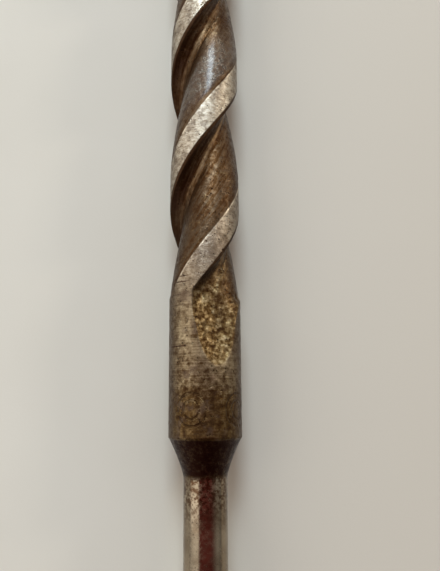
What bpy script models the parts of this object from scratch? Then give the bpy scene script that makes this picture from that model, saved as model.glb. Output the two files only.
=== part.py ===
"""Hand soil auger: a two-start fluted steel head in a quick-release coupling, on a rod with a T-handle.

The tool lies on its side, with its axis along +Y and its point towards +Y.
Most pieces are children of the empty "tool_axis", which stands on that axis at the head's shoulder,
so a child's y is its distance from the shoulder: positive towards the point, negative towards the handle.
"""

from math import cos, pi, radians, sin, sqrt

import bmesh
import bpy

MM = 0.001
GAP = 0.3 * MM                      # clearance left between touching or nested pieces

# Fluted head
BODY_R = 11.0 * MM
SHANK_R = 6.5 * MM
CONE_LENGTH = 10.6 * MM
LEAD = 88.6 * MM                    # advance of each of the two flutes in one full turn
LAND_DEG = 41.0                     # width of the ground land left between two flutes
EDGE_AT_TOP = 92.3 * MM             # where a cutting edge lies straight above the axis
RUNOUT_START = 43.3 * MM            # the flutes stop twisting here and rise out of the body
CUTTER_R = 62.0 * MM                # radius of the wheel that cut the flutes
NOSE_START = 179.0 * MM
NOSE_END = 188.0 * MM
NOSE_R = 4.4 * MM
FLUTE_DEPTH = 0.375                 # as a share of the body radius

# Hexagonal tail of the head, and the coupling that holds it
TAIL_FLATS = 11.0 * MM
TAIL_START = -54.0 * MM
TAIL_END = -98.0 * MM
SOCKET_R = 12.5 * MM
SOCKET_FRONT = -50.0 * MM
SOCKET_BACK = -116.0 * MM
WRENCH_FLATS = 22.0 * MM
BUTTON_AT = -76.0 * MM
BUTTON_R = 2.0 * MM
BUTTON_FLANGE_R = 2.5 * MM
BUTTON_TOP = 9.6 * MM
NOTCH_FLOOR = 8.0 * MM
SPRING_FOOT = -3.2 * MM
SPRING_TOP = 6.2 * MM

# Pilot screw and cutting lips
POINT_END = 222.0 * MM
PILOT_STEM_R = 2.9 * MM
LIP_R = 13.0 * MM
LIP_BACK = 173.0 * MM
LIP_THICKNESS = 2.4 * MM
LIP_SCREW_AT = 178.0 * MM
LIP_SCREW_HEIGHT = 8.0 * MM
LIP_SCREW_R = 1.1 * MM

# Rod, hub and T-handle
ROD_R = 7.0 * MM
ROD_END = -250.0 * MM
HUB_R = 12.7 * MM
HUB_FRONT = -238.0 * MM
HUB_BACK = -292.0 * MM
BAR_AT = -268.0 * MM
BAR_R = 6.0 * MM
BAR_THREAD_R = 5.0 * MM
BAR_SHOULDER = 152.0 * MM
BAR_HALF = 160.0 * MM
BOSS_HALF = 17.0 * MM
BOSS_R = 10.0 * MM
PIN_R = 2.0 * MM
COUPLING_PIN_AT = -108.0 * MM
HUB_PIN_AT = -244.0 * MM
DEPTH_MARKS = (-140.0 * MM, -165.0 * MM, -190.0 * MM, -215.0 * MM)
FERRULE_START = 37.0 * MM
FERRULE_PIN_AT = 40.3 * MM
FERRULE_PIN_R = 1.2 * MM
GRIP_START = 46.0 * MM
GRIP_END = 144.0 * MM

# Clamp screw at the end of the hub
PAD_R = 3.8 * MM
PAD_LENGTH = 2.5 * MM
CLAMP_SCREW_R = 3.0 * MM
KNOB_R = 10.0 * MM
KNOB_FRONT = -295.0 * MM
KNOB_BACK = -308.0 * MM

AXIS_HEIGHT = LIP_R                 # grips and lower lip touch the ground, at z = 0
SHOULDER_Y = -(POINT_END + KNOB_BACK) / 2

ALONG_TOOL = (-pi / 2, 0, 0)        # local +Z becomes +Y
ALONG_BAR = (0, pi / 2, 0)          # local +Z becomes +X
ALONG_BAR_LEFT = (0, -pi / 2, 0)    # local +Z becomes -X
UPRIGHT = (0, 0, 0)


def clear_scene():
    for item in list(bpy.data.objects):
        bpy.data.objects.remove(item)


def make_material(name, colour, roughness, metallic):
    material = bpy.data.materials.new(name)
    material.use_nodes = True
    shader = material.node_tree.nodes["Principled BSDF"]
    shader.inputs["Base Color"].default_value = (*colour, 1.0)
    shader.inputs["Roughness"].default_value = roughness
    shader.inputs["Metallic"].default_value = metallic
    material.diffuse_color = (*colour, 1.0)
    return material


def make_empty(name, location, parent=None):
    empty = bpy.data.objects.new(name, None)
    bpy.context.collection.objects.link(empty)
    empty.location = location
    empty.parent = parent
    return empty


def make_object(name, form, location, rotation, parent, material=None):
    """Turn a bmesh into an object; faces are turned to point outwards."""
    bmesh.ops.recalc_face_normals(form, faces=form.faces)
    mesh = bpy.data.meshes.new(name)
    form.to_mesh(mesh)
    form.free()
    mesh.shade_smooth()
    mesh.set_sharp_from_angle(angle=radians(32))
    item = bpy.data.objects.new(name, mesh)
    bpy.context.collection.objects.link(item)
    item.location = location
    item.rotation_euler = rotation
    item.parent = parent
    if material:
        mesh.materials.append(material)
    return item


def loft(rings, closed=False):
    """Skin a list of rings that all have the same number of points.

    closed joins the last ring to the first, for a piece with a bore; otherwise both ends are capped.
    """
    form = bmesh.new()
    rows = [[form.verts.new(point) for point in ring] for ring in rings]
    count = len(rows[0])
    pairs = list(zip(rows, rows[1:]))
    if closed:
        pairs.append((rows[-1], rows[0]))
    for low, high in pairs:
        for i in range(count):
            j = (i + 1) % count
            form.faces.new((low[i], low[j], high[j], high[i]))
    if not closed:
        form.faces.new(list(reversed(rows[0])))
        form.faces.new(rows[-1])
    return form


def circle(radius, height, sides):
    return [
        (radius * cos(2 * pi * i / sides), radius * sin(2 * pi * i / sides), height)
        for i in range(sides)
    ]


def turned(profile, sides=24, bore=None):
    """A turned piece from (height, radius) points; bore gives it a straight hole of that radius."""
    rings = [circle(radius, height, sides) for height, radius in profile]
    if bore is None:
        return loft(rings)
    rings.append(circle(bore, profile[-1][0], sides))
    rings.append(circle(bore, profile[0][0], sides))
    return loft(rings, closed=True)


def rod(radius, low, high, sides=24, chamfer=0.0):
    if chamfer == 0.0:
        return turned([(low, radius), (high, radius)], sides)
    rim = radius - chamfer
    return turned([(low, rim), (low + chamfer, radius), (high - chamfer, radius), (high, rim)], sides)


def block(low, high):
    """A box between two corners."""
    form = bmesh.new()
    bmesh.ops.create_cube(form, size=1.0)
    for vert in form.verts:
        vert.co = [a + (b - a) * (c + 0.5) for a, b, c in zip(low, high, vert.co)]
    return form


def plate(outline, low, high):
    """Extrude an outline of (y, z) points from x = low to x = high."""
    return loft([[(x, y, z) for y, z in outline] for x in (low, high)])


def boolean(target, name, form, location, rotation, operation="DIFFERENCE"):
    """Cut or join target with a helper form placed on the same parent."""
    helper = make_object(name, form, location, rotation, target.parent)
    helper.hide_render = True
    helper.display_type = "WIRE"
    modifier = target.modifiers.new(name, "BOOLEAN")
    modifier.operation = operation
    modifier.solver = "EXACT"
    modifier.object = helper
    return helper


# ---------------------------------------------------------------- fluted head


def edge_angle(s):
    """Angle of a cutting edge, from +X towards up, at distance s from the shoulder."""
    return radians(90) - 2 * pi * (max(s, RUNOUT_START) - EDGE_AT_TOP) / LEAD


def smooth_step(t):
    t = min(max(t, 0.0), 1.0)
    return t * t * (3 - 2 * t)


def flute_depth(u, s):
    """Depth below the body radius, as a share of it, at u degrees from the back of a land."""
    if u <= LAND_DEG:
        return 0.0
    wall = FLUTE_DEPTH * sin(pi / 2 * min((u - LAND_DEG) / 19, 1.0) ** 0.6)
    flank = 0.06 * ((180 - u) / 31.5) ** 1.5
    depth = min(wall, flank)
    if s >= RUNOUT_START:
        return depth
    back = RUNOUT_START - s
    if back >= CUTTER_R:
        return 0.0
    lift = (CUTTER_R - sqrt(CUTTER_R ** 2 - back ** 2)) / BODY_R
    bowl = FLUTE_DEPTH - 0.00025 * (u - 82) ** 2
    blend = smooth_step(back / (16 * MM))
    return max(0.0, (1 - blend) * depth + blend * bowl - lift)


def head_envelope(s):
    """Largest radius of the head at distance s: shank, concave cone, body, nose."""
    if s <= -CONE_LENGTH:
        return SHANK_R
    if s < 0:
        rise = 1 + s / CONE_LENGTH
        return SHANK_R + (BODY_R - 0.4 * MM - SHANK_R) * rise ** 1.25
    if s < NOSE_START:
        return BODY_R
    return BODY_R + (NOSE_R - BODY_R) * (s - NOSE_START) / (NOSE_END - NOSE_START)


def head_stations():
    """Distances along the head at which its rings are placed."""
    stations = [TAIL_START, -34 * MM]
    stations += [-CONE_LENGTH * (1 - i / 4) for i in range(4)]
    stations += [-0.02 * MM, 0.5 * MM, 19 * MM]
    stations += [(20.5 + 2.0 * i) * MM for i in range(12)]
    twist_count = 39
    step = (NOSE_START - 46 * MM) / twist_count
    stations += [46 * MM + step * i for i in range(twist_count)]
    nose_count = 5
    stations += [NOSE_START + (NOSE_END - NOSE_START) * i / nose_count for i in range(nose_count + 1)]
    return stations


HEAD_COLUMNS = (0, 14, 28, 41, 43, 46.5, 51, 57, 64, 73, 84, 96, 110, 126, 144, 162)


def head_ring(s):
    ring = []
    for start in (0, 180):
        for u in HEAD_COLUMNS:
            angle = edge_angle(s) + radians(LAND_DEG - u - start)
            radius = min(BODY_R * (1 - flute_depth(u, s)), head_envelope(s))
            ring.append((radius * cos(angle), -radius * sin(angle), s))
    return ring


def hexagon(flats, low, high):
    """A six-sided bar with two of its flats facing up and down."""
    corner = flats / 2 / cos(pi / 6)
    return turned([(low, corner), (high, corner)], 6)


def half_turn(side):
    """Rotation about the tool axis that carries the upper lip to the lower one."""
    return 0.0 if side > 0 else pi


def build_head(axis, steel):
    head = make_object("auger_head", loft([head_ring(s) for s in head_stations()]),
                       (0, 0, 0), ALONG_TOOL, axis, steel)
    boolean(head, "cut_hex_tail", hexagon(TAIL_FLATS, TAIL_END, TAIL_START + 2 * MM),
            (0, 0, 0), ALONG_TOOL, "UNION")
    boolean(head, "cut_pilot_bore", rod(PILOT_STEM_R + GAP, 171 * MM, 200 * MM, 16), (0, 0, 0), ALONG_TOOL)
    boolean(head, "cut_button_bore", rod(BUTTON_FLANGE_R + GAP, SPRING_FOOT - GAP, 9 * MM, 16),
            (0, BUTTON_AT, 0), UPRIGHT)
    for side, place in ((1, "upper"), (-1, "lower")):
        turn = (0, half_turn(side), 0)
        seat_low = (-LIP_THICKNESS - 0.2 * MM - GAP, LIP_BACK - GAP, 3.5 * MM)
        seat = block(seat_low, (4.6 * MM, 200 * MM, 15 * MM))
        boolean(head, "cut_seat_" + place, seat, (0, 0, 0), turn)
        bore = rod(LIP_SCREW_R + GAP, -6.8 * MM, 1 * MM, 10)
        boolean(head, "cut_screw_bore_" + place, bore,
                (0, LIP_SCREW_AT, side * LIP_SCREW_HEIGHT), ALONG_BAR if side > 0 else ALONG_BAR_LEFT)
    return head


def build_pilot_screw(axis, steel):
    """Tapered screw point: a stem in the head's bore, and a cone with one coarse thread."""
    low = NOSE_END + GAP
    base_r = 3.6 * MM
    tip_r = 0.5 * MM
    crest = 1.3 * MM
    pitch = 4.2 * MM
    sides = 12
    count = 48
    rings = [circle(PILOT_STEM_R, 172 * MM, sides), circle(PILOT_STEM_R, low, sides)]
    for i in range(count + 1):
        t = i / count
        s = low + (POINT_END - low) * t
        core = base_r + (tip_r - base_r) * t
        ring = []
        for k in range(sides):
            angle = 2 * pi * k / sides
            phase = (s / pitch + angle / (2 * pi)) % 1.0
            ridge = max(0.0, 1 - abs(phase - 0.5) / 0.28)
            radius = core + crest * ridge * min(1.0, 6 * t, 2.5 * (1 - t))
            ring.append((radius * cos(angle), radius * sin(angle), s))
        rings.append(ring)
    return make_object("pilot_screw", loft(rings), (0, 0, 0), ALONG_TOOL, axis, steel)


def build_cutting_lips(axis, lip_steel, screw_steel):
    """Two replaceable lips, each held against its seat by one screw."""
    outline = [
        (LIP_BACK, 3.8 * MM),
        (LIP_BACK, 12.2 * MM),
        (175.0 * MM, LIP_R),
        (183.0 * MM, LIP_R),
        (185.2 * MM, 11.6 * MM),
        (187.6 * MM, 3.8 * MM),
    ]
    for side, place in ((1, "upper"), (-1, "lower")):
        turn = (0, half_turn(side), 0)
        lip = make_object("cutting_lip_" + place, plate(outline, -LIP_THICKNESS - 0.2 * MM, -0.2 * MM),
                          (0, 0, 0), turn, axis, lip_steel)
        bore = rod(LIP_SCREW_R + GAP, -4 * MM, 1 * MM, 10)
        along = ALONG_BAR if side > 0 else ALONG_BAR_LEFT
        where = (0, LIP_SCREW_AT, side * LIP_SCREW_HEIGHT)
        boolean(lip, "cut_lip_bore_" + place, bore, where, along)
        profile = [
            (-6.4 * MM, LIP_SCREW_R - 0.3 * MM),
            (-6.0 * MM, LIP_SCREW_R),
            (0.1 * MM, LIP_SCREW_R),
            (0.1 * MM, 2.2 * MM),
            (1.2 * MM, 2.2 * MM),
            (1.7 * MM, 1.5 * MM),
        ]
        make_object("lip_screw_" + place, turned(profile, 10), where, along, axis, screw_steel)


# ---------------------------------------------------------------- coupling


def build_coupling(axis, steel, pin_steel):
    """Socket with a hexagonal bore for the head and a round bore for the rod."""
    rim = 1.2 * MM
    profile = [
        (SOCKET_BACK, SOCKET_R - rim),
        (SOCKET_BACK + rim, SOCKET_R),
        (SOCKET_FRONT - 4 * MM, SOCKET_R),
        (SOCKET_FRONT, SOCKET_R - 2.5 * MM),
    ]
    socket = make_object("coupling_socket", turned(profile), (0, 0, 0), ALONG_TOOL, axis, steel)
    boolean(socket, "cut_hex_bore", hexagon(TAIL_FLATS + 2 * GAP, TAIL_END - 1 * MM, SOCKET_FRONT + 5 * MM),
            (0, 0, 0), ALONG_TOOL)
    boolean(socket, "cut_shank_bore", rod(SHANK_R + GAP, TAIL_START - GAP, SOCKET_FRONT + 5 * MM),
            (0, 0, 0), ALONG_TOOL)
    boolean(socket, "cut_rod_bore", rod(ROD_R + GAP, SOCKET_BACK - 5 * MM, -101 * MM), (0, 0, 0), ALONG_TOOL)
    boolean(socket, "cut_button_notch", block((-15 * MM, -8 * MM, NOTCH_FLOOR), (15 * MM, 8 * MM, 15 * MM)),
            (0, BUTTON_AT, 0), UPRIGHT)
    boolean(socket, "cut_button_hole", rod(BUTTON_R + GAP, 3 * MM, 12 * MM, 16), (0, BUTTON_AT, 0), UPRIGHT)
    boolean(socket, "cut_coupling_pin", rod(PIN_R + GAP, -15 * MM, 15 * MM, 12),
            (0, COUPLING_PIN_AT, 0), ALONG_BAR)
    for side, place in ((1, "upper"), (-1, "lower")):
        flat = block((-15 * MM, -114 * MM, WRENCH_FLATS / 2), (15 * MM, -102 * MM, 15 * MM))
        boolean(socket, "cut_wrench_flat_" + place, flat, (0, 0, 0), (0, half_turn(side), 0))
    make_object("coupling_pin", rod(PIN_R, -11.9 * MM, 11.9 * MM, 12, 0.4 * MM),
                (0, COUPLING_PIN_AT, 0), ALONG_BAR, axis, pin_steel)
    return socket


def build_button(axis, steel, spring_steel):
    """Snap button in the head's tail; the spring under it pushes it up through the socket."""
    slide = make_empty("button_slide", (0, BUTTON_AT, 0), axis)
    flange_top = TAIL_FLATS / 2
    cup_depth = SPRING_TOP + GAP
    cup_r = 1.7 * MM
    low = 1.2 * MM
    profile = [
        (low, BUTTON_FLANGE_R),
        (flange_top, BUTTON_FLANGE_R),
        (flange_top, BUTTON_R),
        (BUTTON_TOP - 0.9 * MM, BUTTON_R),
        (BUTTON_TOP - 0.3 * MM, BUTTON_R * 0.78),
        (BUTTON_TOP, BUTTON_R * 0.4),
    ]
    button = make_object("release_button", turned(profile, 16), (0, 0, 0), UPRIGHT, slide, steel)
    boolean(button, "cut_button_cup", rod(cup_r, low - 1 * MM, cup_depth, 12), (0, 0, 0), UPRIGHT)

    coil_r = 1.15 * MM
    wire_r = 0.24 * MM
    turns = 6
    steps = 10
    sides = 5
    rings = []
    for i in range(turns * steps + 1):
        t = i / (turns * steps)
        angle = 2 * pi * turns * t
        height = SPRING_FOOT + wire_r + (SPRING_TOP - SPRING_FOOT - 2 * wire_r) * t
        ring = []
        for k in range(sides):
            around = 2 * pi * k / sides
            reach = coil_r + wire_r * cos(around)
            ring.append((reach * cos(angle), reach * sin(angle), height + wire_r * sin(around)))
        rings.append(ring)
    make_object("button_spring", loft(rings), (0, BUTTON_AT, 0), UPRIGHT, axis, spring_steel)


# ---------------------------------------------------------------- rod and hub


def build_rod(axis, steel):
    front = -101 * MM - GAP
    groove = 0.5 * MM
    profile = [(ROD_END, ROD_R - groove), (ROD_END + groove, ROD_R)]
    for mark in reversed(DEPTH_MARKS):
        profile += [
            (mark - 1.2 * MM, ROD_R),
            (mark - 0.7 * MM, ROD_R - groove),
            (mark + 0.7 * MM, ROD_R - groove),
            (mark + 1.2 * MM, ROD_R),
        ]
    profile += [(front - groove, ROD_R), (front, ROD_R - groove)]
    body = make_object("extension_rod", turned(profile), (0, 0, 0), ALONG_TOOL, axis, steel)
    for place, at in (("coupling", COUPLING_PIN_AT), ("hub", HUB_PIN_AT)):
        boolean(body, "cut_rod_" + place, rod(PIN_R + GAP, -15 * MM, 15 * MM, 12), (0, at, 0), ALONG_BAR)
    return body


def build_hub(axis, steel, pin_steel):
    """Hub that joins the rod to the cross bar, with a clamp screw in its back end."""
    rim = 1.5 * MM
    profile = [
        (HUB_BACK, 8.5 * MM),
        (HUB_BACK + 4 * MM, 11.5 * MM),
        (BAR_AT - 9 * MM, HUB_R),
        (BAR_AT + 12 * MM, HUB_R),
        (HUB_FRONT - 10 * MM, 11.2 * MM),
        (HUB_FRONT - rim, 11.2 * MM),
        (HUB_FRONT, 11.2 * MM - rim),
    ]
    hub = make_object("handle_hub", turned(profile), (0, 0, 0), ALONG_TOOL, axis, steel)
    boolean(hub, "cut_hub_bosses", rod(BOSS_R, -BOSS_HALF, BOSS_HALF, 24, 0.8 * MM), (0, BAR_AT, 0),
            ALONG_BAR, "UNION")
    boolean(hub, "cut_hub_rod_bore", rod(ROD_R + GAP, ROD_END - GAP, HUB_FRONT + 5 * MM),
            (0, 0, 0), ALONG_TOOL)
    boolean(hub, "cut_hub_bar_bore", rod(BAR_R + GAP, -30 * MM, 30 * MM), (0, BAR_AT, 0), ALONG_BAR)
    boolean(hub, "cut_hub_pad_bore", rod(PAD_R + GAP, BAR_AT - 12.5 * MM, BAR_AT, 16), (0, 0, 0), ALONG_TOOL)
    boolean(hub, "cut_hub_screw_bore", rod(CLAMP_SCREW_R + GAP, HUB_BACK - 5 * MM, BAR_AT - 8 * MM, 16),
            (0, 0, 0), ALONG_TOOL)
    boolean(hub, "cut_hub_pin_hole", rod(PIN_R + GAP, -15 * MM, 15 * MM, 12), (0, HUB_PIN_AT, 0), ALONG_BAR)
    make_object("hub_pin", rod(PIN_R, -10.9 * MM, 10.9 * MM, 12, 0.4 * MM), (0, HUB_PIN_AT, 0),
                ALONG_BAR, axis, pin_steel)
    return hub


def build_clamp(axis, brass, steel, knob_steel):
    """Swivel pad, screw, knob and cross pin; turning the knob moves all of them along the axis."""
    slide = make_empty("clamp_slide", (0, BAR_AT - BAR_R - GAP, 0), axis)
    make_object("clamp_pad", rod(PAD_R, -PAD_LENGTH, -0.1 * MM, 16, 0.4 * MM),
                (0, 0, 0), ALONG_TOOL, slide, brass)
    origin = BAR_AT - BAR_R - GAP
    spindle = make_empty("clamp_spindle", (0, 0, 0), slide)
    screw_front = -PAD_LENGTH - GAP
    screw_back = KNOB_BACK + 1.5 * MM - origin
    screw = make_object("clamp_screw", rod(CLAMP_SCREW_R, screw_back, screw_front, 16, 0.4 * MM),
                        (0, 0, 0), ALONG_TOOL, spindle, steel)
    front = KNOB_FRONT - origin
    back = KNOB_BACK - origin
    profile = [
        (back, KNOB_R - 2.2 * MM),
        (back + 1.6 * MM, KNOB_R),
        (front - 3.0 * MM, KNOB_R),
        (front - 1.6 * MM, KNOB_R - 3 * MM),
        (front, KNOB_R - 3.4 * MM),
    ]
    knob = make_object("clamp_knob", turned(profile, 28), (0, 0, 0), ALONG_TOOL, spindle, knob_steel)
    boolean(knob, "cut_knob_bore", rod(CLAMP_SCREW_R + GAP, screw_back - GAP, front + 5 * MM, 16),
            (0, 0, 0), ALONG_TOOL)
    pin_at = (front + back) / 2
    pin_r = 1.2 * MM
    for piece, label in ((screw, "screw"), (knob, "knob")):
        boolean(piece, "cut_pin_" + label, rod(pin_r + GAP, -15 * MM, 15 * MM, 10), (0, pin_at, 0), UPRIGHT)
    make_object("knob_pin", rod(pin_r, 0.4 * MM - KNOB_R, KNOB_R - 0.4 * MM, 10), (0, pin_at, 0), UPRIGHT,
                spindle, steel)


# ---------------------------------------------------------------- sliding T-handle


def build_bar(slide, steel):
    tip = 0.6 * MM
    profile = [
        (-BAR_HALF, BAR_THREAD_R - tip),
        (-BAR_HALF + tip, BAR_THREAD_R),
        (-BAR_SHOULDER, BAR_THREAD_R),
        (-BAR_SHOULDER, BAR_R),
        (BAR_SHOULDER, BAR_R),
        (BAR_SHOULDER, BAR_THREAD_R),
        (BAR_HALF - tip, BAR_THREAD_R),
        (BAR_HALF, BAR_THREAD_R - tip),
    ]
    bar = make_object("cross_bar", turned(profile), (0, 0, 0), ALONG_BAR, slide, steel)
    for x, place in ((FERRULE_PIN_AT, "right"), (-FERRULE_PIN_AT, "left")):
        boolean(bar, "cut_bar_pin_" + place, rod(FERRULE_PIN_R + GAP, -15 * MM, 15 * MM, 10),
                (x, 0, 0), UPRIGHT)
    return bar


def grip_profile():
    """Turned wooden grip: a full palm swell near the hub and a small flare at the outer end."""
    return [
        (GRIP_START, 9.6 * MM),
        (GRIP_START + 2 * MM, 10.6 * MM),
        (56 * MM, 12.0 * MM),
        (66 * MM, 12.8 * MM),
        (76 * MM, LIP_R),
        (90 * MM, 12.6 * MM),
        (106 * MM, 11.6 * MM),
        (120 * MM, 11.0 * MM),
        (131 * MM, 11.3 * MM),
        (138 * MM, 12.0 * MM),
        (142 * MM, 11.6 * MM),
        (GRIP_END, 10.2 * MM),
    ]


def build_handle_end(slide, place, wood, brass, steel):
    """Ferrules, grip, washer, cap nut and pin at one end of the bar."""
    along = ALONG_BAR if place == "right" else ALONG_BAR_LEFT
    side = 1 if place == "right" else -1
    bore = BAR_R + GAP
    inner = [
        (FERRULE_START, 8.4 * MM),
        (FERRULE_START + 1 * MM, 9.4 * MM),
        (GRIP_START - 2.4 * MM, 9.4 * MM),
        (GRIP_START - 1.8 * MM, 10.4 * MM),
        (GRIP_START - GAP, 10.4 * MM),
    ]
    ferrule = make_object("inner_ferrule_" + place, turned(inner, 24, bore), (0, 0, 0), along, slide, brass)
    boolean(ferrule, "cut_ferrule_pin_" + place, rod(FERRULE_PIN_R + GAP, -15 * MM, 15 * MM, 10),
            (side * FERRULE_PIN_AT, 0, 0), UPRIGHT)
    make_object("ferrule_pin_" + place, rod(FERRULE_PIN_R, -9.2 * MM, 9.2 * MM, 10),
                (side * FERRULE_PIN_AT, 0, 0), UPRIGHT, slide, steel)
    make_object("grip_" + place, turned(grip_profile(), 24, bore), (0, 0, 0), along, slide, wood)
    outer = [
        (GRIP_END + GAP, 10.4 * MM),
        (GRIP_END + 3.0 * MM, 10.4 * MM),
        (GRIP_END + 3.6 * MM, 9.2 * MM),
        (BAR_SHOULDER - GAP, 8.8 * MM),
    ]
    make_object("outer_ferrule_" + place, turned(outer, 24, bore), (0, 0, 0), along, slide, brass)
    thread_bore = BAR_THREAD_R + GAP
    washer = [(BAR_SHOULDER + GAP, 8.6 * MM), (BAR_SHOULDER + 1.8 * MM, 8.6 * MM)]
    make_object("end_washer_" + place, turned(washer, 24, thread_bore), (0, 0, 0), along, slide, steel)
    nut_low = BAR_SHOULDER + 1.8 * MM + GAP
    nut_flats = 13.0 * MM
    corner = nut_flats / 2 / cos(pi / 6)
    cap = [
        (nut_low, corner),
        (nut_low + 5.4 * MM, corner),
        (nut_low + 6.2 * MM, corner * 0.84),
        (nut_low + 8.6 * MM, corner * 0.66),
        (nut_low + 9.9 * MM, corner * 0.34),
    ]
    nut = make_object("end_nut_" + place, turned(cap, 6), (0, 0, 0), along, slide, steel)
    boolean(nut, "cut_nut_bore_" + place, rod(thread_bore, nut_low - 2 * MM, BAR_HALF + GAP, 16),
            (0, 0, 0), along)


def build():
    clear_scene()
    head_steel = make_material("head_steel", (0.23, 0.16, 0.10), 0.42, 0.9)
    lip_steel = make_material("lip_steel", (0.40, 0.38, 0.35), 0.35, 1.0)
    tool_steel = make_material("tool_steel", (0.30, 0.25, 0.20), 0.40, 1.0)
    pin_steel = make_material("pin_steel", (0.42, 0.40, 0.37), 0.35, 1.0)
    blued_steel = make_material("blued_steel", (0.10, 0.09, 0.09), 0.45, 0.9)
    spring_steel = make_material("spring_steel", (0.45, 0.44, 0.42), 0.30, 1.0)
    brass = make_material("brass", (0.55, 0.40, 0.16), 0.35, 1.0)
    wood = make_material("wood", (0.36, 0.19, 0.09), 0.50, 0.0)

    axis = make_empty("tool_axis", (0, SHOULDER_Y, AXIS_HEIGHT))
    build_head(axis, head_steel)
    build_pilot_screw(axis, lip_steel)
    build_cutting_lips(axis, lip_steel, blued_steel)
    build_coupling(axis, tool_steel, pin_steel)
    build_button(axis, pin_steel, spring_steel)
    build_rod(axis, tool_steel)
    build_hub(axis, tool_steel, pin_steel)
    build_clamp(axis, brass, pin_steel, blued_steel)
    handle_slide = make_empty("handle_slide", (0, BAR_AT, 0), axis)
    build_bar(handle_slide, pin_steel)
    for place in ("left", "right"):
        build_handle_end(handle_slide, place, wood, brass, blued_steel)


build()
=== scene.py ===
"""Looks of the hand soil auger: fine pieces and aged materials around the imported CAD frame.

Lengths are in metres. "s" is the distance along the tool from the head's shoulder, positive towards the
point, as the head's shape is ruled by it; heights along other pieces come from the frame's boxes.
"""

from math import cos, pi, radians, sin

import bmesh
import bpy
import numpy as np
from mathutils import Matrix, Vector, noise


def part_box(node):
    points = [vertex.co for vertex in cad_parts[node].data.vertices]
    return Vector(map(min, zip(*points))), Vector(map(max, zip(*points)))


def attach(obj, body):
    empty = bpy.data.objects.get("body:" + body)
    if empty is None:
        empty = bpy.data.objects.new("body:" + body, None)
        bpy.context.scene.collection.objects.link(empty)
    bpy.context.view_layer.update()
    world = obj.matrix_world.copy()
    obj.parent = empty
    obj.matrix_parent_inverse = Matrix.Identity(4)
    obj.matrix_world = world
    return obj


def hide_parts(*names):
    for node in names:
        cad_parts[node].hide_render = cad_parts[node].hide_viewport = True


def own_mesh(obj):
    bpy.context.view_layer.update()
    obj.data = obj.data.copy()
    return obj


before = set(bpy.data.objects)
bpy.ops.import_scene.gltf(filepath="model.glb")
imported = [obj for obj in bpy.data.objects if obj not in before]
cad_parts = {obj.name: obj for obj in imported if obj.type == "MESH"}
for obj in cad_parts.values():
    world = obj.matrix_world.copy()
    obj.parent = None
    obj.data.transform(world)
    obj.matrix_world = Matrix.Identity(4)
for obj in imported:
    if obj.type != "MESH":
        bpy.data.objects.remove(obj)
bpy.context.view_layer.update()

MM = 0.001


def box(node):
    low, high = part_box(node)
    return np.array(low), np.array(high)


def span(node, axis):
    """Lowest and highest coordinate of a CAD node along an axis."""
    low, high = box(node)
    index = "xyz".index(axis)
    return low[index], high[index]


def middle(node, axis):
    return sum(span(node, axis)) / 2


def node_centre(node):
    low, high = box(node)
    return tuple((low + high) / 2)


HEAD_LOW, HEAD_HIGH = box("auger_head")
BODY_R = (HEAD_HIGH[0] - HEAD_LOW[0]) / 2
AXIS_Z = middle("auger_head", "z")
BAR_Y = middle("cross_bar", "y")
TOOL_CENTRE = (0.0, 0.0, AXIS_Z)
BAR_CENTRE = (0.0, BAR_Y, AXIS_Z)

# The head's own dimensions, as the CAD has them
NOSE_END = 188.0 * MM
NOSE_START = 179.0 * MM
NOSE_R = 4.4 * MM
SHOULDER_Y = HEAD_HIGH[1] - NOSE_END
SHOULDER_EDGE = 0.4 * MM            # how far the cone's wide end stays inside the cylinder
CONE_LENGTH = 10.6 * MM
SHANK_R = 6.5 * MM
TAIL_START = -54.0 * MM
TAIL_FLATS = 11.0 * MM              # across the flats of the hexagonal tail
LEAD = 88.6 * MM                    # of one turn of a flute
LAND_DEG = 41.0
EDGE_AT_TOP = 92.3 * MM             # where a cutting edge crosses the top
FLUTE_DEPTH = 0.375                 # share of the body radius
RUNOUT_START = 43.3 * MM
CUTTER_R = 62.0 * MM                # of the cutter that left the round runout

# Wear and marks of the head that only the fine model has
WORN_EDGE_DEG = 7.0                 # dark, rounded strip between a bright land and the wall of its flute
WORN_EDGE_DROP = 0.03               # share of the body radius
WORN_FROM = 46.0 * MM               # grows to its full width behind the runout
SCRATCH_LINES = (                   # s and half width, in mm
    (26.95, 0.12), (46.1, 0.1), (47.8, 0.1), (51.5, 0.02), (42.3, 0.02),
)
STAMP_S = 8.6                       # mm from the shoulder
STAMP_ARCS = (-3.9, 11.5)           # mm around the cylinder from its top
STAMP_RADII = (4.7, 2.6)            # mm

# Radii of the holes, in mm
PIN_HOLE = 2.07
SMALL_HOLE = 1.26
BAR_HOLE = 6.3
THREAD_HOLE = 5.3
THROUGH = (-100, 100)               # depths, in mm, that pass right through any piece

# Camera: above the shank, looking down at the flutes and tilted towards the point
CAMERA_DISTANCE = 188.0 * MM
CAMERA_TILT = radians(10.86)
CAMERA_SIDE = 4.75 * MM
CAMERA_ROLL = radians(-0.46)
AIM_S = 46.5 * MM
LENS = 37.9
SENSOR = 36.0

# Dark, middle and light colours of the turned steels
GROUND = ((0.12, 0.1, 0.085), (0.3, 0.27, 0.235), (0.5, 0.47, 0.43))
BROWNED = ((0.055, 0.034, 0.02), (0.16, 0.115, 0.075), (0.33, 0.27, 0.2))
SATIN = ((0.13, 0.11, 0.095), (0.32, 0.29, 0.255), (0.52, 0.49, 0.45))
BLUED = ((0.018, 0.016, 0.017), (0.045, 0.042, 0.045), (0.1, 0.095, 0.09))
WIRE = ((0.2, 0.18, 0.16), (0.38, 0.36, 0.33), (0.56, 0.54, 0.5))


# ---- mesh tools


def new_object(name, mesh):
    item = bpy.data.objects.new(name, mesh)
    bpy.context.scene.collection.objects.link(item)
    return item


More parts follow.
